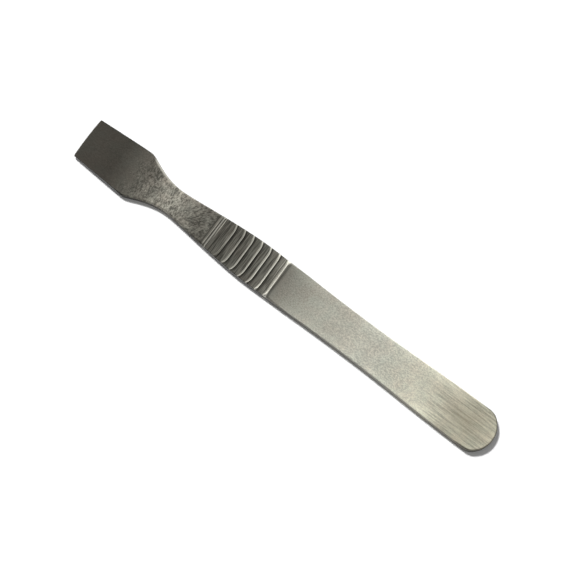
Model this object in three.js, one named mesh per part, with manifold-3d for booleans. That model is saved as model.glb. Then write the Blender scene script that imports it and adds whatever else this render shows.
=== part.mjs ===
// Steel spudger: one forged bar with a ground scraping blade, a narrow neck, a ribbed finger grip
// and a flat handle with a round end. Millimetres, +Z up, blade towards -X, lying flat on Z = 0.
import * as THREE from 'three';
import { mergeVertices } from 'three/addons/utils/BufferGeometryUtils.js';
import Module from 'manifold-3d';

// Bar
const LENGTH = 120;
const THICKNESS = 2.2;
const EDGE_ROUND = 0.2;
const EDGE_ROUND_STEPS = 3;
const CURVE_STEPS = 12;

// Plan view: distances from the blade's tip, and half widths there
const TIP_HALF_WIDTH = 5.5;
const TIP_CROWN = 0.15;
const TIP_CHAMFER = 0.35;
const SHOULDER_AT = 14.9;
const SHOULDER_HALF_WIDTH = 6.36;
const SHOULDER_ROUND = 0.6;
const SHOULDER_SLOPE = 0.36;
const NECK_AT = 25.6;
const NECK_HALF_WIDTH = 3.33;
const GRIP_AT = 51;
const GRIP_HALF_WIDTH = 5.38;
const WAIST_AT = 77.5;
const WAIST_HALF_WIDTH = 4.97;
const END_CORNER_AT = 115.2;
const END_HALF_WIDTH = 5.72;
const END_RADIUS = 6.25;
const END_ARC_START = 0.96;

// Curves between those places leave and arrive along the bar. These are their control points.
const NECK_CURVE = { leaveAt: 17.85, leaveHalf: 5.36, arriveAt: 20.8 };
const GRIP_CURVE = { leaveAt: 29.5, arriveAt: 41.5 };
const WAIST_CURVE = { leaveAt: 59, arriveAt: 64 };
const END_CURVE = { leaveAt: 92, arriveAt: 99, arriveHalf: 5.7 };
const END_CORNER_REACH = 1.2;

// Side view: half thicknesses either side of the middle plane
const EDGE_HALF = 0.22;
const BLADE_HEEL_AT = 17;
const BLADE_HEEL_HALF = 0.9;
const NECK_HALF = 1.0;
const RIB_FLOOR_HALF = 0.8;
const HANDLE_DIP_HALF = 1.0;
const HANDLE_LEVEL_AT = 76;
const HANDLE_CLEAR_LEAD = 1;
const CLEAR_HALF = THICKNESS / 2 + 0.4;

// Ribbed grip
const RIB_COUNT = 7;
const RIB_PITCH = 2.462;
const FIRST_RIB_AT = 41.48;
const RIB_TOP_WIDTH = 0.12;
const RIB_RISE = 0.36;
const RIB_FALL = 0.2;
const RIB_CLEAR = 0.03;
const GRIP_START = 37.2;
const GRIP_LEAD = 0.7;
const CUTTER_WIDTH = 20;

const wasm = await Module();
wasm.setup();

// Outline of one long side, from the middle of the tip to the middle of the round end.
function addUpperSide(shape) {
  const endCentre = LENGTH - END_RADIUS;
  const arcX = endCentre + END_RADIUS * Math.cos(END_ARC_START);
  const arcY = END_RADIUS * Math.sin(END_ARC_START);
  const shoulderX = SHOULDER_AT + SHOULDER_ROUND;
  const shoulderY = SHOULDER_HALF_WIDTH - SHOULDER_ROUND * SHOULDER_SLOPE;
  shape.moveTo(0, 0);
  shape.lineTo(TIP_CROWN, TIP_HALF_WIDTH - TIP_CHAMFER);
  shape.lineTo(TIP_CROWN + TIP_CHAMFER, TIP_HALF_WIDTH);
  shape.lineTo(SHOULDER_AT - SHOULDER_ROUND, SHOULDER_HALF_WIDTH);
  shape.quadraticCurveTo(SHOULDER_AT, SHOULDER_HALF_WIDTH, shoulderX, shoulderY);
  shape.bezierCurveTo(
    NECK_CURVE.leaveAt, NECK_CURVE.leaveHalf,
    NECK_CURVE.arriveAt, NECK_HALF_WIDTH,
    NECK_AT, NECK_HALF_WIDTH,
  );
  shape.bezierCurveTo(
    GRIP_CURVE.leaveAt, NECK_HALF_WIDTH,
    GRIP_CURVE.arriveAt, GRIP_HALF_WIDTH,
    GRIP_AT, GRIP_HALF_WIDTH,
  );
  shape.bezierCurveTo(
    WAIST_CURVE.leaveAt, GRIP_HALF_WIDTH,
    WAIST_CURVE.arriveAt, WAIST_HALF_WIDTH,
    WAIST_AT, WAIST_HALF_WIDTH,
  );
  shape.bezierCurveTo(
    END_CURVE.leaveAt, WAIST_HALF_WIDTH,
    END_CURVE.arriveAt, END_CURVE.arriveHalf,
    END_CORNER_AT, END_HALF_WIDTH,
  );
  shape.quadraticCurveTo(END_CORNER_AT + END_CORNER_REACH, END_HALF_WIDTH, arcX, arcY);
  shape.absarc(endCentre, 0, END_RADIUS, END_ARC_START, 0, true);
}

// The whole plan outline: one side, then its mirror image back to the tip.
function planOutline() {
  const side = new THREE.Shape();
  addUpperSide(side);
  const upper = side.getPoints(CURVE_STEPS);
  const lower = upper.slice(1, -1).reverse().map((p) => new THREE.Vector2(p.x, -p.y));
  return new THREE.Shape([...upper, ...lower]);
}

// The bar in plan, with its long edges and its round end rounded over.
function barGeometry() {
  const geometry = new THREE.ExtrudeGeometry(planOutline(), {
    depth: THICKNESS - 2 * EDGE_ROUND,
    bevelEnabled: true,
    bevelThickness: EDGE_ROUND,
    bevelSize: EDGE_ROUND,
    bevelOffset: -EDGE_ROUND,
    bevelSegments: EDGE_ROUND_STEPS,
  });
  geometry.translate(-LENGTH / 2, 0, EDGE_ROUND);
  return geometry;
}

// Upper line of the side view, as points of distance from the tip and half thickness. Each rib
// rises gently on the blade's side and falls steeply on the handle's side.
function thicknessLine() {
  const line = [
    [0, EDGE_HALF],
    [BLADE_HEEL_AT, BLADE_HEEL_HALF],
    [NECK_AT, NECK_HALF],
    [GRIP_START, NECK_HALF],
    [GRIP_START + GRIP_LEAD, RIB_FLOOR_HALF],
  ];
  const drop = THICKNESS / 2 - RIB_FLOOR_HALF;
  const crest = THICKNESS / 2 + RIB_CLEAR;
  for (let i = 0; i < RIB_COUNT; i += 1) {
    const near = FIRST_RIB_AT + i * RIB_PITCH - RIB_TOP_WIDTH / 2;
    const far = near + RIB_TOP_WIDTH;
    line.push([near - RIB_RISE, RIB_FLOOR_HALF]);
    line.push([near + (RIB_CLEAR * RIB_RISE) / drop, crest]);
    line.push([far - (RIB_CLEAR * RIB_FALL) / drop, crest]);
    line.push([far + RIB_FALL, i < RIB_COUNT - 1 ? RIB_FLOOR_HALF : HANDLE_DIP_HALF]);
  }
  line.push([HANDLE_LEVEL_AT, THICKNESS / 2]);
  line.push([HANDLE_LEVEL_AT + HANDLE_CLEAR_LEAD, CLEAR_HALF]);
  line.push([LENGTH + 1, CLEAR_HALF]);
  return line;
}

// A block as wide as the tool that holds its side view: wedge blade, neck, ribs and handle.
function profileGeometry() {
  const upper = thicknessLine();
  const lower = upper.map(([x, half]) => [x, -half]).reverse();
  const outline = [...upper, ...lower].map(([x, z]) => new THREE.Vector2(x, z));
  const geometry = new THREE.ExtrudeGeometry(new THREE.Shape(outline), {
    depth: CUTTER_WIDTH,
    bevelEnabled: false,
  });
  geometry.rotateX(Math.PI / 2);
  geometry.translate(-LENGTH / 2, CUTTER_WIDTH / 2, THICKNESS / 2);
  return geometry;
}

function toSolid(geometry) {
  const bare = geometry.clone();
  bare.deleteAttribute('normal');
  bare.deleteAttribute('uv');
  const merged = mergeVertices(bare, 1e-5);
  const mesh = new wasm.Mesh({
    numProp: 3,
    vertProperties: new Float32Array(merged.attributes.position.array),
    triVerts: new Uint32Array(merged.index.array),
  });
  return new wasm.Manifold(mesh);
}

function toGeometry(solid) {
  const mesh = solid.getMesh();
  const geometry = new THREE.BufferGeometry();
  geometry.setAttribute('position', new THREE.BufferAttribute(mesh.vertProperties, 3));
  geometry.setIndex(new THREE.BufferAttribute(mesh.triVerts, 1));
  geometry.computeVertexNormals();
  return geometry;
}

function makeSteelSpudger() {
  const solid = toSolid(barGeometry()).intersect(toSolid(profileGeometry()));
  const steel = new THREE.MeshStandardMaterial({ color: 0x9b978b, roughness: 0.45, metalness: 1 });
  const mesh = new THREE.Mesh(toGeometry(solid), steel);
  mesh.name = 'steel_spudger';
  return mesh;
}

const group = new THREE.Group();
group.add(makeSteelSpudger());

export default group;
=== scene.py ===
"""Steel spudger: one forged and ground bar, shown as a fine mesh with procedural steel finishes."""
import math

import bpy
import numpy as np
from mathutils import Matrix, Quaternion, Vector, noise


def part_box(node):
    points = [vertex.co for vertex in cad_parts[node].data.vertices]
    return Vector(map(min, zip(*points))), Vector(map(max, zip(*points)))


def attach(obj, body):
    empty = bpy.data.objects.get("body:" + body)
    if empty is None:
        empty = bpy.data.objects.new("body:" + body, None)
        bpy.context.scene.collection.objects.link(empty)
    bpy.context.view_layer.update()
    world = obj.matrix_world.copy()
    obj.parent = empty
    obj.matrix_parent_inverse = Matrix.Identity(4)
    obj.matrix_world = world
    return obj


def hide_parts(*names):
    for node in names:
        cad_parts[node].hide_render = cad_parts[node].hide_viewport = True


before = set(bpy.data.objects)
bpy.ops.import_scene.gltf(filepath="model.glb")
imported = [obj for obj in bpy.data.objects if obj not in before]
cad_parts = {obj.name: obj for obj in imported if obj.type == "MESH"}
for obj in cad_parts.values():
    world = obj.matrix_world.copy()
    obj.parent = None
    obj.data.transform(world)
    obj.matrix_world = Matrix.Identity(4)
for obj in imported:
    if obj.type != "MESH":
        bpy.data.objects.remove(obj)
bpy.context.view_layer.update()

NODE = "steel_spudger"
BOX_LOW, BOX_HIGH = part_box(NODE)

# ---------------------------------------------------------------------------------------------
# Driving dimensions. Lengths are in design millimetres, and MM turns them into metres.
# ---------------------------------------------------------------------------------------------

LENGTH = 120.0
MM = (BOX_HIGH.x - BOX_LOW.x) / LENGTH
HALF = (BOX_HIGH.z - BOX_LOW.z) / MM / 2

# Plan view: distances from the tip, and half widths there
TIP_HALF_WIDTH = 5.5
TIP_CROWN = 0.15
TIP_CORNER = 0.35
CORNER_STEPS = 9
SHOULDER_AT = 14.9
SHOULDER_HALF_WIDTH = 6.36
SHOULDER_ROUND = 0.6
SHOULDER_SLOPE = 0.36
NECK_AT = 25.6
NECK_HALF_WIDTH = 3.33
GRIP_AT = 51.0
GRIP_HALF_WIDTH = 5.38
WAIST_AT = 77.5
WAIST_HALF_WIDTH = 4.97
END_CORNER_AT = 115.2
END_HALF_WIDTH = 5.72
END_RADIUS = 6.25
END_ARC_START = 0.96
END_CENTRE = LENGTH - END_RADIUS
END_CORNER_REACH = 1.2
FAN_START = 106.0

# Control points of the curves between those places: (distance from the tip, half width)
NECK_CURVE = [(17.85, 5.36), (20.8, NECK_HALF_WIDTH)]
GRIP_CURVE = [(29.5, NECK_HALF_WIDTH), (41.5, GRIP_HALF_WIDTH)]
WAIST_CURVE = [(59.0, GRIP_HALF_WIDTH), (64.0, WAIST_HALF_WIDTH)]
END_CURVE = [(92.0, WAIST_HALF_WIDTH), (99.0, 5.7)]

# Side view: half thicknesses
EDGE_HALF = 0.22
BLADE_RISE = 0.04
HONED_HALF = 0.15
HONED_RISE = 0.5
NECK_HALF = 1.0
FLOOR_HALF = 0.8
HOLLOW_DEPTH = 0.1
HOLLOW_LENGTH = 20.0
EDGE_ROUND = 0.2
EDGE_REACH = 1.2
CRISP_EDGE = 0.05
GRIP_ROUND_WIDTH = 0.9
GRIP_ROUND_DEPTH = 0.5
FACET_HALF = 0.66
FACET_SLOPE = 1.1
NECK_EDGE_OUT = (33.0, 37.0)
GRIP_EDGE_OUT = (56.5, 62.0)
NECK_LEVELS = [(8.0, 0.70), (13.7, 0.768), (16.0, 0.83), (19.0, 0.90), (22.5, 0.96), (26.5, NECK_HALF)]

# Forged surface: noise frequencies per millimetre, and heights. Pits start at the threshold.
LUMP_SCALE = 0.42
LUMP_HEIGHT = 0.035
PIT_SCALE = 1.9
PIT_THRESHOLD = 0.12
PIT_DEPTH = 0.05
PIT_RISE = 0.012

# Painted highlight on one edge of the shoulder: where it fades in and out along the bar
HIGHLIGHT_IN = (15.4, 16.8)
HIGHLIGHT_OUT = (19.5, 24.5)
HIGHLIGHT_STRENGTH = 0.6

# Marks by distance inside the outline: side walls darkened, partly their own dark edge finish and partly
# painted shade, a paler margin, and where the painted highlights fade in
WALL_STRENGTH = 0.8
WALL_WIDTH = 0.06
WALL_START = 0.03
MARGIN_FADE = (0.25, 2.2)
BRIGHT_FADE = (0.0, 0.08)

# Painted contact shadow on the rim of the round end, and the worn patch beside it
END_RIM_IN = (112.0, 115.5)
END_RIM_WIDTH = 0.38
END_RIM_GAIN = 0.08
WORN_AT = 111.0
WORN_LENGTH = 4.5
WORN_WIDTH = 2.6

# Ribbed grip
RIB_COUNT = 7
RIB_PITCH = 2.462
FIRST_RIB_AT = 41.48
LAST_RIB_AT = FIRST_RIB_AT + (RIB_COUNT - 1) * RIB_PITCH
RIB_TOP_WIDTH = 0.1
RIB_RISE = 0.36
RIB_FALL = 0.2
RIB_BEND = 0.55
BEND_REACH = 2.4
BEND_POWER = 2.2
RIB_SKEW = 0.0105
GRIP_SURFACE_IN = (35.9, 36.6)
GRIP_START = 37.2
GRIP_FLOOR_START = 38.1
RIB_BEND_END = (LAST_RIB_AT - 4.4, LAST_RIB_AT - 0.8)
LAST_RIB_FLARE = 0.7
# Painted highlight on the ribs' near flanks, growing from rib to rib
RIB_HIGHLIGHT = 0.25
RIB_HIGHLIGHT_STEP = 0.1
FIRST_RIB_HIGHLIGHT = 0.3
# Painted shade on the far flank behind each rib: how far behind the rib, and its reach
RIB_SHADE_BEHIND = 0.3
RIB_SHADE_REACH = 0.2

# Low ridges across the grip's floor: (distance from the tip, top width, rise, fall, height)
FLOOR_RIDGES = [(39.5, 0.1, 0.3, 0.3, 0.02), (55.3, 0.04, 0.14, 0.1, 0.03)]

# Darker bands where the grip starts: (distance from the tip, reach, strength)
DARK_BANDS = [(36.45, 0.22, 0.8), (38.95, 0.4, 0.6)]

# Scribed lines: (distance from the tip, top width, rise, share of the full height, slant)
SCRIBED_LINES = [
    (37.1, 0.06, 0.16, 0.4, -1.0),
    (37.74, 0.16, 0.2, 1.0, 0.3),
    (38.25, 0.05, 0.16, 0.5, 0.0),
]
SCRIBED_FALL = 0.08
SCRIBED_SKEW = 0.012
SCRIBED_HEIGHT = 0.075


# ---------------------------------------------------------------------------------------------
# Camera
# ---------------------------------------------------------------------------------------------

CAMERA_AZIMUTH = 0.0
CAMERA_ELEVATION = 75.5
CAMERA_ROLL = 36.87
CAMERA_LENS = 300.0
SENSOR_WIDTH = 36.0
VIEW_WIDTH = 136.05
AIM_X = -0.81
AIM_Y = 0.09


def direction(azimuth, elevation):
    """Unit vector towards something at that azimuth and elevation, in degrees."""
    a, e = math.radians(azimuth), math.radians(elevation)
    return Vector((math.sin(a) * math.cos(e), -math.cos(a) * math.cos(e), math.sin(e)))


def make_camera():
    data = bpy.data.cameras.new("photo_camera")
    camera = bpy.data.objects.new("photo_camera", data)
    bpy.context.collection.objects.link(camera)
    bpy.context.scene.camera = camera
    data.lens = CAMERA_LENS
    data.sensor_width = SENSOR_WIDTH
    distance = VIEW_WIDTH * MM * CAMERA_LENS / SENSOR_WIDTH
    back = direction(CAMERA_AZIMUTH, CAMERA_ELEVATION)
    aim = Vector((AIM_X, AIM_Y, HALF)) * MM
    camera.location = aim + back * distance
    camera.rotation_mode = "QUATERNION"
    roll = Quaternion((0.0, 0.0, 1.0), math.radians(CAMERA_ROLL))
    camera.rotation_quaternion = (-back).to_track_quat("-Z", "Y") @ roll
    data.clip_start = distance * 0.05
    data.clip_end = distance * 20


# ---------------------------------------------------------------------------------------------
# Shape helpers
# ---------------------------------------------------------------------------------------------

def smoothstep(low, high, value):
    t = np.clip((value - low) / (high - low), 0.0, 1.0)
    return t * t * (3.0 - 2.0 * t)


def smooth_min(a, b, softness):
    """The lower of two surfaces, with the crease between them eased over about that height."""
    h = np.clip(0.5 + 0.5 * (b - a) / softness, 0.0, 1.0)
    return b * (1.0 - h) + a * h - softness * h * (1.0 - h)


def bezier(points, steps):
    t = np.linspace(0.0, 1.0, steps + 1)[:, None]
    p = [np.array(q, dtype=float) for q in points]
    if len(p) == 3:
        return (1 - t) ** 2 * p[0] + 2 * t * (1 - t) * p[1] + t ** 2 * p[2]
    return (
        (1 - t) ** 3 * p[0]
        + 3 * t * (1 - t) ** 2 * p[1]
        + 3 * t ** 2 * (1 - t) * p[2]
        + t ** 3 * p[3]
    )


def side_outline():
    """One long side in plan, from the tip's corner to where the round end starts."""
    shoulder_out = (
        SHOULDER_AT + SHOULDER_ROUND,
        SHOULDER_HALF_WIDTH - SHOULDER_ROUND * SHOULDER_SLOPE,
    )
    arc_start = (
        END_CENTRE + END_RADIUS * math.cos(END_ARC_START),
        END_RADIUS * math.sin(END_ARC_START),
    )
    neck = (NECK_AT, NECK_HALF_WIDTH)
    grip = (GRIP_AT, GRIP_HALF_WIDTH)
    waist = (WAIST_AT, WAIST_HALF_WIDTH)
    end_corner = (END_CORNER_AT, END_HALF_WIDTH)
    turn = np.linspace(0.0, math.pi / 2, CORNER_STEPS)
    corner = np.stack([
        TIP_CORNER * (1 - np.cos(turn)),
        TIP_HALF_WIDTH - TIP_CORNER * (1 - np.sin(turn)),
    ], axis=1)
    pieces = [
        corner,
        bezier([
            (SHOULDER_AT - SHOULDER_ROUND, SHOULDER_HALF_WIDTH),
            (SHOULDER_AT, SHOULDER_HALF_WIDTH),
            shoulder_out,
        ], 12),
        bezier([shoulder_out, *NECK_CURVE, neck], 60),
        bezier([neck, *GRIP_CURVE, grip], 80),
        bezier([grip, *WAIST_CURVE, waist], 80),
        bezier([waist, *END_CURVE, end_corner], 80),
        bezier([end_corner, (END_CORNER_AT + END_CORNER_REACH, END_HALF_WIDTH), arc_start], 16),
    ]
    return np.concatenate(pieces)


SIDE = side_outline()

# The tiny steps keep apart the points that two curves share
SIDE_SLOPE = np.gradient(SIDE[:, 1], SIDE[:, 0] + np.arange(len(SIDE)) * 1e-9)


def half_width(x):
    return np.interp(x, SIDE[:, 0], SIDE[:, 1])


def edge_distance(x, y):
    """How far a point in plan is inside the nearest edge of the outline."""
    slope = np.clip(np.interp(x, SIDE[:, 0], SIDE_SLOPE), -2.0, 2.0)
    side = (half_width(x) - np.abs(y)) / np.sqrt(1.0 + slope ** 2)
    end = END_RADIUS - np.hypot(np.maximum(x - END_CENTRE, 0.0), y)
    return np.minimum(np.where(x > SIDE[-1, 0], end, side), end)


def noise_at(points, scale, octaves, seed):
    """Fractal noise of about -1 to 1 at each point, in design millimetres."""
    offset = Vector((seed * 17.3, seed * 7.1, seed * 3.7))
    values = [
        noise.fractal(Vector(p) * scale + offset, 1.0, 2.0, octaves) for p in points
    ]
    return np.array(values)


# ---------------------------------------------------------------------------------------------
# The bar's surface: half thickness at each point in plan, and what finish it carries there
# ---------------------------------------------------------------------------------------------

def ground_blade(x, y):
    """The ground wedge: a thin honed edge, then flat faces that rise evenly towards the heel."""
    crown = TIP_CROWN * (y / TIP_HALF_WIDTH) ** 2
    from_edge = np.maximum(x - crown, 0.0)
    honed = HONED_HALF + HONED_RISE * from_edge
    wedge = EDGE_HALF + BLADE_RISE * x
    return smooth_min(honed, wedge, 0.03)


def forged_neck(x, lumps, pits):
    """The hammered surface of heel and neck, with its lumps and pits."""
    level = np.interp(x, [at for at, _ in NECK_LEVELS], [half for _, half in NECK_LEVELS])
    sunk = PIT_DEPTH * np.maximum(pits - PIT_THRESHOLD, 0.0)
    return level + LUMP_HEIGHT * lumps - sunk + PIT_RISE * pits


def edge_bend(x, y):
    """0 over most of the width, rising to 1 at the long edges."""
    inside = half_width(x) - np.abs(y)
    return np.clip(1.0 - inside / BEND_REACH, 0.0, 1.0) ** BEND_POWER


def ridge(offset, top_width, rise, fall):
    """Height from 0 to 1 across a ridge, which may rise and fall over different distances."""
    up = (offset + top_width / 2 + rise) / rise
    down = (top_width / 2 + fall - offset) / fall
    return smoothstep(-0.12, 1.12, np.minimum(up, down))


def ribs(x, y):
    """Height of the ribs, and masks of the painted highlight on their near flanks and the painted shade
    behind them.
    """
    bend = edge_bend(x, y)
    lean = RIB_BEND * (1.0 - smoothstep(*RIB_BEND_END, x))
    height = np.zeros_like(x)
    crest = np.zeros_like(x)
    rib_shade_and_dark_bands = np.zeros_like(x)
    for i in range(RIB_COUNT):
        skewed = x + lean * bend + RIB_SKEW * y * min(i, 1)
        offset = skewed - (FIRST_RIB_AT + i * RIB_PITCH)
        is_last = i == RIB_COUNT - 1
        widened = RIB_TOP_WIDTH + (LAST_RIB_FLARE * bend if is_last else 0.0)
        height = np.maximum(height, ridge(offset, widened, RIB_RISE, RIB_FALL))
        highlight = RIB_HIGHLIGHT + RIB_HIGHLIGHT_STEP * i
        if i == 0:
            highlight = FIRST_RIB_HIGHLIGHT * smoothstep(-3.0, 1.0, y)
        crest = np.maximum(crest, highlight * ridge(offset + 0.16, widened + 0.04, 0.18, 0.12))
        behind = np.exp(-((offset - widened / 2 - RIB_SHADE_BEHIND) / RIB_SHADE_REACH) ** 2)
        rib_shade_and_dark_bands = np.maximum(rib_shade_and_dark_bands, behind * (0.4 if is_last else 1.0))
    return height, crest, rib_shade_and_dark_bands


def grip_start(x, y):
    """Height from 0 to 1 of the scribed lines where the grip starts. The last is on one side only."""
    skew = SCRIBED_SKEW * y
    heights = [
        share * ridge(x + skew * turn - at, top_width, rise, SCRIBED_FALL)
        for at, top_width, rise, share, turn in SCRIBED_LINES
    ]
    one_side = smoothstep(-1.5, 1.5, y)
    return heights[0] + heights[1] + one_side * heights[2]


def grip_surface(x, y, rib_height):
    """Floors and ribs of the grip."""
    fall = smoothstep(GRIP_START, GRIP_FLOOR_START, x)
    floor = NECK_HALF + (FLOOR_HALF - NECK_HALF) * fall
    for at, top_width, rise, drop, height in FLOOR_RIDGES:
        floor = floor + height * ridge(x - at, top_width, rise, drop)
    return floor + (HALF - floor) * rib_height + SCRIBED_HEIGHT * grip_start(x, y)


def handle_surface(x):
    """Flat handle. It dips softly behind the last rib and comes back to full thickness."""
    fall = smoothstep(LAST_RIB_AT, LAST_RIB_AT + 1.0, x)
    recover = smoothstep(LAST_RIB_AT + 1.2, LAST_RIB_AT + HOLLOW_LENGTH, x)
    return HALF - HOLLOW_DEPTH * fall * (1.0 - recover)


def edge_allowance(x, distance):
    """The half thickness that the worked edges leave, at that distance from the outline."""
    near = np.clip(distance, 0.0, EDGE_ROUND)
    rounded = HALF - EDGE_ROUND + np.sqrt(EDGE_ROUND ** 2 - (EDGE_ROUND - near) ** 2)
    wide = np.clip(distance / GRIP_ROUND_WIDTH, 0.0, 1.0)
    grip = HALF - GRIP_ROUND_DEPTH * (1.0 - np.sqrt(1.0 - (1.0 - wide) ** 2))
    facet = FACET_HALF + FACET_SLOPE * distance
    past_neck = smoothstep(*NECK_EDGE_OUT, x)
    neck_share = 1.0 - past_neck
    grip_share = past_neck * (1.0 - smoothstep(*GRIP_EDGE_OUT, x))
    allowed = neck_share * facet + grip_share * grip + (1.0 - neck_share - grip_share) * rounded
    return np.where(distance > EDGE_REACH, HALF * 2, allowed)


def surface(x, y, seed):
    """Half thickness of one face at points in plan, and masks of its finishes, painted highlights and
    painted shade.
    """
    points = np.stack([x.ravel(), y.ravel() * 1.15, np.zeros(x.size)], axis=1)
    lumps = noise_at(points, LUMP_SCALE, 2, seed).reshape(x.shape)
    pits = noise_at(points, PIT_SCALE, 3, seed + 5).reshape(x.shape)
    blade = ground_blade(x, y)
    neck = forged_neck(x, lumps, pits)
    forged = smoothstep(-0.012, 0.02, blade - neck)
    front = smooth_min(blade, neck, 0.01)
    rib_height, crest, rib_shade_and_dark_bands = ribs(x, y)
    grip = grip_surface(x, y, rib_height)
    to_grip = smoothstep(*GRIP_SURFACE_IN, x)
    half = front * (1.0 - to_grip) + grip * to_grip
    half = np.where(x > LAST_RIB_AT, np.maximum(grip * (x < LAST_RIB_AT + 0.2), handle_surface(x)), half)
    inside = edge_distance(x, y)
    half = np.minimum(half, edge_allowance(x, inside))
    half = half - (CRISP_EDGE - np.clip(inside, 0.0, CRISP_EDGE)) * 0.7
    # Painted highlight along the shoulder's upper edge, on one side only
    along_highlight = smoothstep(*HIGHLIGHT_IN, x) * (1.0 - smoothstep(*HIGHLIGHT_OUT, x))
    highlight = along_highlight * smoothstep(-2.0, 2.0, y)
    highlight = highlight * smoothstep(0.06, 0.14, inside) * (1.0 - smoothstep(0.4, 0.55, inside))
    dark_bands = sum(strength * np.exp(-((x - at) / reach) ** 2) for at, reach, strength in DARK_BANDS)
    # Round the end the darkened wall widens into a painted contact shadow on the rim
    at_end = smoothstep(*END_RIM_IN, x)
    rim = WALL_WIDTH + END_RIM_WIDTH * at_end
    # Painted highlights on the scribed lines, the shoulder edge and the ribs' near flanks
    fine = HIGHLIGHT_STRENGTH * np.maximum(grip_start(x, y), highlight)
    painted_highlight = np.maximum(crest * (x < LAST_RIB_AT + 0.5), fine)
    masks = {
        "forged": forged * (1.0 - to_grip),
        "painted_highlight": painted_highlight * smoothstep(*BRIGHT_FADE, inside),
        "rib_shade_and_dark_bands": np.maximum(rib_shade_and_dark_bands * smoothstep(40.0, 41.0, x), dark_bands),
        "margin": 1.0 - smoothstep(*MARGIN_FADE, inside),
        "worn": np.exp(-(y / WORN_WIDTH) ** 2 - ((x - WORN_AT) / WORN_LENGTH) ** 2),
        "dark_wall_and_shade": (WALL_STRENGTH + END_RIM_GAIN * at_end) * (1.0 - smoothstep(WALL_START, rim, inside)),
    }
    return half, masks


# ---------------------------------------------------------------------------------------------
# Mesh
# ---------------------------------------------------------------------------------------------

EDGE_STEPS = np.array([0.0, 0.02, 0.05, 0.10, 0.17, 0.26, 0.37, 0.50, 0.68])
INNER_COLUMNS = 34
WALL_LEVELS = (0.5, 0.0, -0.5)


def columns(half):
    """Places across a row: close together near both edges, even in between."""
    inner_edge = half - EDGE_STEPS[-1]
    inner = np.linspace(-inner_edge, inner_edge, INNER_COLUMNS + 2)[1:-1]
    return np.concatenate([-(half - EDGE_STEPS), inner, (half - EDGE_STEPS)[::-1]])


def row_stations():
    """Where the straight rows lie, closest together where the surface has most detail."""
    corner = TIP_CORNER * (1 - np.cos(np.linspace(0.0, math.pi / 2, CORNER_STEPS)))
    runs = [(TIP_CORNER, 11.0, 0.3), (11.0, 36.4, 0.14), (36.4, 58.6, 0.05), (58.6, FAN_START, 0.6)]
    stations = [corner]
    for start, stop, step in runs:
        count = round((stop - start) / step)
        stations.append(np.linspace(start, stop, count + 1)[1:])
    return np.concatenate(stations)


def fan_row(share):
    """A row near the round end, bowed so that the last one is the end's own arc."""
    arc_x = END_CENTRE + END_RADIUS * math.cos(END_ARC_START)
    edge_x = FAN_START + (arc_x - FAN_START) * share
    centre_x = FAN_START + (arc_x - FAN_START) * share + (LENGTH - arc_x) * share ** 2
    edge_y = float(half_width(edge_x))
    rise = centre_x - edge_x
    radius = (rise ** 2 + edge_y ** 2) / (2 * rise)
    reach = radius * math.asin(edge_y / radius)
    along = columns(reach) / radius
    return centre_x - radius + radius * np.cos(along), radius * np.sin(along)


def plan_grid():
    """Plan positions of the mesh's rows and columns, and the station of each row at the edge."""
    xs, ys = [], []
    for station in row_stations():
        across = columns(float(half_width(station)))
        bow = TIP_CROWN * (across / TIP_HALF_WIDTH) ** 2 * (1.0 - min(station / 4.0, 1.0))
        xs.append(station + bow)
        ys.append(across)
    fan_length = LENGTH - FAN_START
    gaps = np.concatenate([np.linspace(fan_length, 0.9, 28)[1:], EDGE_STEPS[::-1]])
    for share in 1.0 - gaps / fan_length:
        x, y = fan_row(share)
        xs.append(x)
        ys.append(y)
    return np.array(xs), np.array(ys)


def rim_loop(rows, cols):
    """Indices of the grid's boundary, once round."""
    top = [(0, c) for c in range(cols)]
    right = [(r, cols - 1) for r in range(1, rows)]
    bottom = [(rows - 1, c) for c in range(cols - 2, -1, -1)]
    left = [(r, 0) for r in range(rows - 2, 0, -1)]
    return [r * cols + c for r, c in top + right + bottom + left]


def build_mesh():
    x, y = plan_grid()
    rows, cols = x.shape
    top_half, top_masks = surface(x, y, 1)
    under_half, under_masks = surface(x, y, 2)
    flat_x, flat_y = x.ravel(), y.ravel()
    top = np.stack([flat_x, flat_y, top_half.ravel()], axis=1)
    under = np.stack([flat_x, flat_y, -under_half.ravel()], axis=1)
    rim = rim_loop(rows, cols)
    walls = [
        np.stack([
            flat_x[rim], flat_y[rim],
            (top[rim, 2] + under[rim, 2]) / 2 + level * (top[rim, 2] - under[rim, 2]) / 2,
        ], axis=1)
        for level in WALL_LEVELS
    ]
    verts = np.concatenate([top, under, *walls])
    verts[:, 0] -= LENGTH / 2
    verts[:, 2] += HALF
    count = rows * cols
    grid = np.arange(count).reshape(rows, cols)
    a, b = grid[:-1, :-1].ravel(), grid[1:, :-1].ravel()
    c, d = grid[1:, 1:].ravel(), grid[:-1, 1:].ravel()
    faces = [np.stack([a, b, c, d], axis=1), np.stack([a, d, c, b], axis=1) + count]
    rings = [np.array(rim)]
    for level in range(len(WALL_LEVELS)):
        start = 2 * count + level * len(rim)
        rings.append(np.arange(start, start + len(rim)))
    rings.append(np.array(rim) + count)
    for upper, lower in zip(rings[:-1], rings[1:]):
        faces.append(np.stack([upper, np.roll(upper, -1), np.roll(lower, -1), lower], axis=1))
    masks = {
        name: np.concatenate([
            top_masks[name].ravel(), under_masks[name].ravel(),
            np.tile(top_masks[name].ravel()[rim], len(WALL_LEVELS)),
        ])
        for name in top_masks
    }
    return verts * MM, np.concatenate(faces), masks


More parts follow.
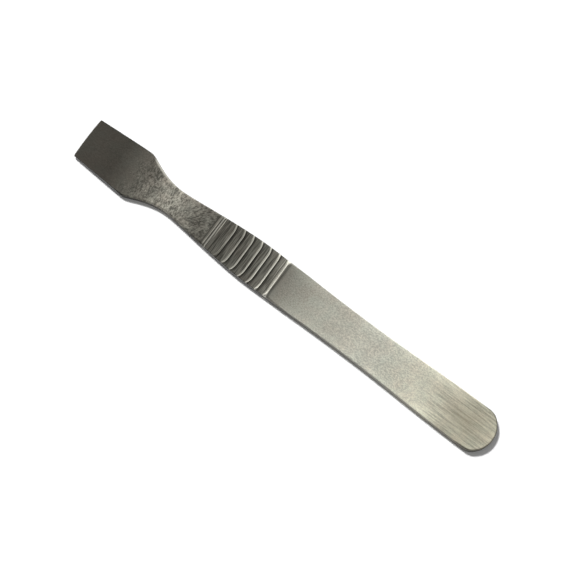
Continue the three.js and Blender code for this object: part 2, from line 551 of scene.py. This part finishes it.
def make_spudger():
    verts, faces, masks = build_mesh()
    mesh = bpy.data.meshes.new("spudger_steel")
    mesh.from_pydata(verts.tolist(), [], faces.tolist())
    for name, values in masks.items():
        mesh.attributes.new(name, "FLOAT", "POINT").data.foreach_set("value", values.astype(np.float32))
    mesh.polygons.foreach_set("use_smooth", [True] * len(mesh.polygons))
    mesh.set_sharp_from_angle(angle=math.radians(50))
    mesh.validate()
    piece = bpy.data.objects.new("spudger_steel", mesh)
    bpy.context.collection.objects.link(piece)
    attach(piece, "root")
    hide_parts(NODE)
    return piece


# ---------------------------------------------------------------------------------------------
# Steel
# ---------------------------------------------------------------------------------------------

class Nodes:
    """Short calls for building a node tree."""

    def __init__(self, tree):
        self.tree = tree

    def add(self, kind, **settings):
        node = self.tree.nodes.new(kind)
        for name, value in settings.items():
            setattr(node, name, value)
        return node

    def feed(self, socket, value):
        if isinstance(value, bpy.types.NodeSocket):
            self.tree.links.new(value, socket)
        else:
            socket.default_value = value

    def math(self, operation, a, b):
        node = self.add("ShaderNodeMath", operation=operation)
        self.feed(node.inputs[0], a)
        self.feed(node.inputs[1], b)
        return node.outputs[0]

    def add_up(self, *values):
        total = values[0]
        for value in values[1:]:
            total = self.math("ADD", total, value)
        return total

    def scale(self, vector, factors):
        node = self.add("ShaderNodeVectorMath", operation="MULTIPLY")
        self.feed(node.inputs[0], vector)
        node.inputs[1].default_value = factors
        return node.outputs[0]

    def turned(self, vector, angle):
        node = self.add("ShaderNodeVectorRotate", rotation_type="Z_AXIS")
        self.feed(node.inputs["Vector"], vector)
        node.inputs["Angle"].default_value = angle
        return node.outputs[0]

    def noise(self, vector, scale, detail, roughness):
        node = self.add("ShaderNodeTexNoise", noise_dimensions="3D")
        self.feed(node.inputs["Vector"], vector)
        node.inputs["Scale"].default_value = scale
        node.inputs["Detail"].default_value = detail
        node.inputs["Roughness"].default_value = roughness
        return node.outputs["Fac"]

    def spread(self, value, low, high, out_low, out_high):
        node = self.add("ShaderNodeMapRange", interpolation_type="SMOOTHSTEP")
        self.feed(node.inputs["Value"], value)
        node.inputs["From Min"].default_value = low
        node.inputs["From Max"].default_value = high
        node.inputs["To Min"].default_value = out_low
        node.inputs["To Max"].default_value = out_high
        return node.outputs["Result"]

    def swing(self, value, amount):
        """A noise value of 0.3 to 0.7, spread over that amount either side of 0."""
        return self.spread(value, 0.3, 0.7, -amount, amount)

    def ramp(self, value, stops):
        node = self.add("ShaderNodeValToRGB")
        self.feed(node.inputs["Fac"], value)
        elements = node.color_ramp.elements
        while len(elements) < len(stops):
            elements.new(0.5)
        for element, (place, colour) in zip(elements, stops):
            element.position = place
            element.color = (*colour, 1.0)
        return node.outputs["Color"]

    def mix(self, share, a, b, blend="MIX"):
        node = self.add("ShaderNodeMix", data_type="RGBA", blend_type=blend)
        self.feed(node.inputs["Factor"], share)
        self.feed(node.inputs[6], a)
        self.feed(node.inputs[7], b)
        return node.outputs[2]

    def attribute(self, name):
        node = self.add("ShaderNodeAttribute", attribute_name=name)
        return node.outputs["Fac"]

    def bump(self, height, distance):
        node = self.add("ShaderNodeBump")
        node.inputs["Strength"].default_value = 1.0
        node.inputs["Distance"].default_value = distance
        self.feed(node.inputs["Height"], height)
        return node.outputs["Normal"]


# Brightness of the steel along the bar, partly the finishes' own tone and partly painted reflection,
# such as the handle's brightening towards its end and the blade's darkness: (distance from the tip,
# linear grey)
TONES_AND_PAINTED_SHEEN = [
    (0, 0.054), (9, 0.054), (18, 0.128), (25.5, 0.30), (33, 0.14), (45, 0.11),
    (53, 0.15), (65, 0.41), (82, 0.59), (101, 0.76), (113, 0.49), (120, 0.54),
]

# Its tint: brownish on the blade, faintly green on the handle, yellowish brown at the end
TINTS = [(0, (1.0, 0.93, 0.79)), (85, (1.0, 0.99, 0.86)), (112, (1.0, 0.955, 0.76))]

# Colours: the painted highlights, the worn patch's brown, and the warm and cool tints
HIGHLIGHT_COLOUR = (0.75, 0.73, 0.64)
WORN_BROWN = (0.37, 0.33, 0.24)
WARM_TINT = (1.025, 0.995, 0.975)
COOL_TINT = (0.98, 1.005, 0.995)

# Where each finish fades in or out, in distance from the tip
HEEL_IN = (12.0, 20.0)
BLADE_OUT = (14.0, 20.0)
GRAIN_TURN = (27.0, 31.0)
GRIP_IN = (36.2, 36.8)
GRIP_OUT = (56.0, 57.6)
HANDLE_IN = (56.4, 58.5)
SATIN_OUT = (92.0, 106.0)
BRUSH_IN = (98.0, 106.0)

# How much each finish and each painted shade changes the brightness, as a share of it
SATIN_CONTRAST = 0.25
BRUSH_CONTRAST = 0.26
MILLING_CONTRAST = 0.6
BLADE_CONTRAST = 0.14
STAIN_CONTRAST = 0.07
MARGIN_GAIN = 0.14
MOTTLE_FLOOR = -0.45
SHADE_AND_BAND_DARKNESS = 0.55
WALL_DARK_AND_SHADE = 0.96

# Share of the brown in the worn patch, and the depth of the fine relief in millimetres
WORN_SHARE = 0.45
RELIEF_DEPTH = 0.03


def steel_material():
    material = bpy.data.materials.new("worked_steel")
    material.use_nodes = True
    tree = material.node_tree
    tree.nodes.clear()
    n = Nodes(tree)
    shader = n.add("ShaderNodeBsdfPrincipled")
    output = n.add("ShaderNodeOutputMaterial")
    tree.links.new(shader.outputs["BSDF"], output.inputs["Surface"])
    coordinates = n.add("ShaderNodeTexCoord").outputs["Object"]
    place = n.scale(coordinates, (1 / MM, 1 / MM, 1 / MM))
    split = n.add("ShaderNodeSeparateXYZ")
    tree.links.new(place, split.inputs[0])
    station = n.math("ADD", split.outputs["X"], LENGTH / 2)
    forged = n.attribute("forged")
    in_grip = n.math(
        "MULTIPLY",
        n.spread(station, *GRIP_IN, 0.0, 1.0),
        n.spread(station, *GRIP_OUT, 1.0, 0.0),
    )
    on_handle = n.spread(station, *HANDLE_IN, 0.0, 1.0)
    near_end = n.spread(station, *BRUSH_IN, 0.0, 1.0)
    before_end = n.spread(station, *SATIN_OUT, 1.0, 0.5)
    on_blade = n.spread(station, *BLADE_OUT, 1.0, 0.0)
    past_heel = n.spread(station, *HEEL_IN, 0.4, 1.0)

    # Satin grain and brush marks on the handle, milling lines in the grip, forged grain on the neck
    satin = n.noise(n.scale(place, (0.85, 1.4, 1.4)), 2.7, 3.0, 0.6)
    brush = n.noise(n.scale(place, (0.10, 2.2, 2.2)), 1.3, 2.0, 0.6)
    milling = n.noise(n.scale(place, (4.2, 0.14, 0.14)), 1.5, 3.0, 0.6)
    slant = n.scale(n.turned(place, 0.8), (1.5, 0.6, 1.0))
    upright = n.scale(place, (1.6, 0.7, 1.0))
    grain = n.mix(
        n.spread(station, *GRAIN_TURN, 0.0, 1.0),
        n.noise(upright, 2.2, 3.0, 0.6),
        n.noise(slant, 2.2, 3.0, 0.6),
    )
    patches = n.noise(n.scale(place, (0.9, 0.6, 1.0)), 0.8, 3.0, 0.6)
    specks = n.noise(n.scale(place, (1.5, 0.9, 1.0)), 2.4, 2.0, 0.5)
    stain = n.noise(place, 0.16, 3.0, 0.5)
    tint = n.noise(place, 0.3, 2.0, 0.5)

    along = n.math("DIVIDE", station, LENGTH)
    # Tone along the bar, with painted reflection in it
    level = n.ramp(along, [(at / LENGTH, (grey, grey, grey)) for at, grey in TONES_AND_PAINTED_SHEEN])
    tone_and_painted_sheen = n.mix(1.0, level, n.ramp(along, [(at / LENGTH, tint) for at, tint in TINTS]), "MULTIPLY")
    mottle = n.math("MAXIMUM", MOTTLE_FLOOR, n.add_up(
        n.spread(grain, 0.34, 0.66, -0.5, 0.55),
        n.spread(patches, 0.35, 0.65, -0.2, 0.3),
        n.spread(specks, 0.6, 0.74, 0.0, 0.9),
    ))
    brushed = n.add_up(
        n.math("MULTIPLY", before_end, n.swing(satin, SATIN_CONTRAST)),
        n.math("MULTIPLY", near_end, n.swing(brush, BRUSH_CONTRAST)),
        n.math("MULTIPLY", n.attribute("margin"), MARGIN_GAIN),
    )
    change = n.add_up(
        n.math("MULTIPLY", n.math("MULTIPLY", forged, past_heel), mottle),
        n.math("MULTIPLY", on_handle, brushed),
        n.math("MULTIPLY", in_grip, n.swing(milling, MILLING_CONTRAST)),
        n.math("MULTIPLY", on_blade, n.swing(satin, BLADE_CONTRAST)),
        n.swing(stain, STAIN_CONTRAST),
    )
    # Painted shade behind the ribs, darker bands where the grip starts, and side walls darkened partly
    # by their own finish and partly as painted shade, with a painted contact shadow round the end
    shade = n.math(
        "MULTIPLY",
        n.math("SUBTRACT", 1.0, n.math("MULTIPLY", n.attribute("rib_shade_and_dark_bands"), SHADE_AND_BAND_DARKNESS)),
        n.math("SUBTRACT", 1.0, n.math("MULTIPLY", n.attribute("dark_wall_and_shade"), WALL_DARK_AND_SHADE)),
    )
    gain = n.math("MULTIPLY", n.math("ADD", change, 1.0), shade)
    tinted = n.mix(1.0, tone_and_painted_sheen, n.ramp(tint, [(0.3, WARM_TINT), (0.7, COOL_TINT)]), "MULTIPLY")
    scaled = n.add("ShaderNodeVectorMath", operation="SCALE")
    tree.links.new(tinted, scaled.inputs[0])
    tree.links.new(gain, scaled.inputs["Scale"])
    worn_share = n.math("MULTIPLY", n.attribute("worn"), WORN_SHARE)
    worn = n.mix(worn_share, scaled.outputs[0], (*WORN_BROWN, 1.0))
    # Painted highlights laid over the steel colour
    colour = n.mix(n.attribute("painted_highlight"), worn, (*HIGHLIGHT_COLOUR, 1.0))
    tree.links.new(colour, shader.inputs["Base Color"])

    roughness = n.add_up(
        n.spread(stain, 0.3, 0.7, 0.30, 0.38),
        n.math("MULTIPLY", forged, 0.14),
        n.math("MULTIPLY", on_handle, n.spread(satin, 0.3, 0.7, 0.08, 0.18)),
    )
    tree.links.new(roughness, shader.inputs["Roughness"])
    shader.inputs["Metallic"].default_value = 1.0

    relief = n.add_up(
        n.math("MULTIPLY", forged, n.math("MULTIPLY", grain, 1.8)),
        n.math("MULTIPLY", on_handle, n.math("MULTIPLY", satin, 0.3)),
        n.math("MULTIPLY", near_end, n.math("MULTIPLY", brush, 0.25)),
        n.math("MULTIPLY", in_grip, n.math("MULTIPLY", milling, 0.35)),
    )
    normal = n.bump(relief, RELIEF_DEPTH * MM)
    tree.links.new(normal, shader.inputs["Normal"])
    return material


# ---------------------------------------------------------------------------------------------
# Stage
# ---------------------------------------------------------------------------------------------

# Table top: flat out to the first radius, then rising to the second, in metres
FLAT_RADIUS = 3.0
SWEEP_RADIUS = 9.0
SWEEP_RISE = 0.028
SWEEP_RINGS = 25
SWEEP_SIDES = 96
TABLE_COLOUR = (0.93, 0.93, 0.93, 1.0)
TABLE_GAP = 0.02


def make_floor():
    """A round table top that sweeps gently upwards far away, so that no horizon shows."""
    radii = np.concatenate([[1.0], np.linspace(FLAT_RADIUS, SWEEP_RADIUS, SWEEP_RINGS)])
    turns = np.linspace(0.0, 2 * math.pi, SWEEP_SIDES, endpoint=False)
    verts = [(0.0, 0.0, 0.0)]
    for radius in radii:
        height = SWEEP_RISE * (radius - FLAT_RADIUS) ** 2 if radius > FLAT_RADIUS else 0.0
        verts += [(radius * math.cos(t), radius * math.sin(t), height) for t in turns]
    count = len(turns)
    faces = [(0, 1 + i, 1 + (i + 1) % count) for i in range(count)]
    for ring in range(len(radii) - 1):
        inner, outer = 1 + ring * count, 1 + (ring + 1) * count
        for i in range(count):
            after = (i + 1) % count
            faces.append((inner + i, outer + i, outer + after, inner + after))
    mesh = bpy.data.meshes.new("floor")
    mesh.from_pydata(verts, [], faces)
    mesh.polygons.foreach_set("use_smooth", [True] * len(mesh.polygons))
    floor = bpy.data.objects.new("floor", mesh)
    floor.location.z = BOX_LOW.z - TABLE_GAP * MM
    bpy.context.collection.objects.link(floor)
    material = bpy.data.materials.new("white_table")
    material.use_nodes = True
    shader = material.node_tree.nodes["Principled BSDF"]
    shader.inputs["Base Color"].default_value = TABLE_COLOUR
    shader.inputs["Roughness"].default_value = 0.9
    shader.inputs["Specular IOR Level"].default_value = 0.1
    mesh.materials.append(material)


# Softboxes that show only in glossy reflection: (name, azimuth, elevation, size in metres, power)
STEEL_LIGHTS = [
    ("key", 262, 40, 1.4, 6.0),
    ("top", 210, 45, 1.4, 4.2),
    ("rim", 175, 18, 0.5, 1.8),
    ("fill", 60, 26, 0.9, 2.2),
]

# The table's own light: direction in degrees, its spread in degrees, and its strength
SUN_AZIMUTH = 255
SUN_ELEVATION = 55
SUN_SPREAD = 10.3
SUN_STRENGTH = 3.6

# Even light from all round
WORLD_STRENGTH = 0.30


def make_steel_light(name, azimuth, elevation, size, power):
    """A soft square light, one metre away, that shows only in glossy reflection."""
    data = bpy.data.lights.new(name, "AREA")
    data.shape = "SQUARE"
    data.size = size
    data.energy = power
    light = bpy.data.objects.new(name, data)
    back = direction(azimuth, elevation)
    light.location = back
    light.rotation_mode = "QUATERNION"
    light.rotation_quaternion = (-back).to_track_quat("-Z", "Y")
    light.visible_diffuse = False
    bpy.context.collection.objects.link(light)


def make_sun():
    """The light on the table. It doesn't show in glossy reflection, so the steel doesn't get it."""
    data = bpy.data.lights.new("table", "SUN")
    data.energy = SUN_STRENGTH
    data.angle = math.radians(SUN_SPREAD)
    sun = bpy.data.objects.new("table", data)
    back = direction(SUN_AZIMUTH, SUN_ELEVATION)
    sun.rotation_mode = "QUATERNION"
    sun.rotation_quaternion = (-back).to_track_quat("-Z", "Y")
    sun.visible_glossy = False
    bpy.context.collection.objects.link(sun)


def make_world():
    world = bpy.data.worlds.new("studio")
    bpy.context.scene.world = world
    world.use_nodes = True
    background = world.node_tree.nodes["Background"]
    background.inputs["Color"].default_value = (1.0, 1.0, 1.0, 1.0)
    background.inputs["Strength"].default_value = WORLD_STRENGTH


def main():
    make_camera()
    bpy.context.scene.view_settings.view_transform = "Standard"
    piece = make_spudger()
    piece.data.materials.append(steel_material())
    make_floor()
    make_world()
    for settings in STEEL_LIGHTS:
        make_steel_light(*settings)
    make_sun()


main()
